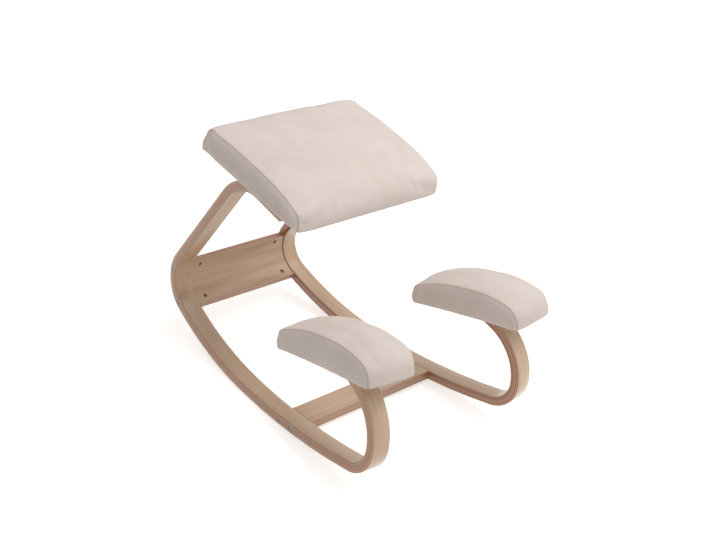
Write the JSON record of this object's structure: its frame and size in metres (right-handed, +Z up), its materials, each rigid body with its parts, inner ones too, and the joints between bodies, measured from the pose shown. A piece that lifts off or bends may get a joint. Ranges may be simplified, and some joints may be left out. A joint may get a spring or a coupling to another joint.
{
  "type": "kneeling chair",
  "caption": "Rocking kneeling chair: bent laminated wood runners carry a sloping padded seat and separate padded knee rests in pale upholstery.",
  "frame": {"origin": "on the floor, under the middle of the chair's overall box, with the chair standing in balance on its rockers", "axes": "+Z up; -Y is the way the sitter faces; +X is the sitter's left"},
  "size_m": [0.5434, 0.7214, 0.5276],
  "materials": {
    "bent_laminated_wood": "satin",
    "plywood_board": "matte",
    "upholstery_cover": "matte",
    "foam": "matte",
    "underside_cloth": "matte",
    "steel_fasteners": "satin"
  },
  "bodies": {
    "root": {"front_barrel_nuts": "steel_fasteners", "front_connector_bolts": "steel_fasteners", "front_cross_bar": "bent_laminated_wood", "knee_pad_left_board": "plywood_board", "knee_pad_left_bolts": "steel_fasteners", "knee_pad_left_cover": "upholstery_cover", "knee_pad_left_foam": "foam", "knee_pad_left_tee_nuts": "steel_fasteners", "knee_pad_left_underside_cloth": "underside_cloth", "knee_pad_left_washers": "steel_fasteners", "knee_pad_right_board": "plywood_board", "knee_pad_right_bolts": "steel_fasteners", "knee_pad_right_cover": "upholstery_cover", "knee_pad_right_foam": "foam", "knee_pad_right_tee_nuts": "steel_fasteners", "knee_pad_right_underside_cloth": "underside_cloth", "knee_pad_right_washers": "steel_fasteners", "rear_barrel_nuts": "steel_fasteners", "rear_connector_bolts": "steel_fasteners", "rear_cross_plate": "bent_laminated_wood", "runner_left": "bent_laminated_wood", "runner_right": "bent_laminated_wood", "seat_board": "plywood_board", "seat_bolts": "steel_fasteners", "seat_cover": "upholstery_cover", "seat_foam": "foam", "seat_tee_nuts": "steel_fasteners", "seat_underside_cloth": "underside_cloth", "seat_washers": "steel_fasteners"}
  },
  "joints": []
}
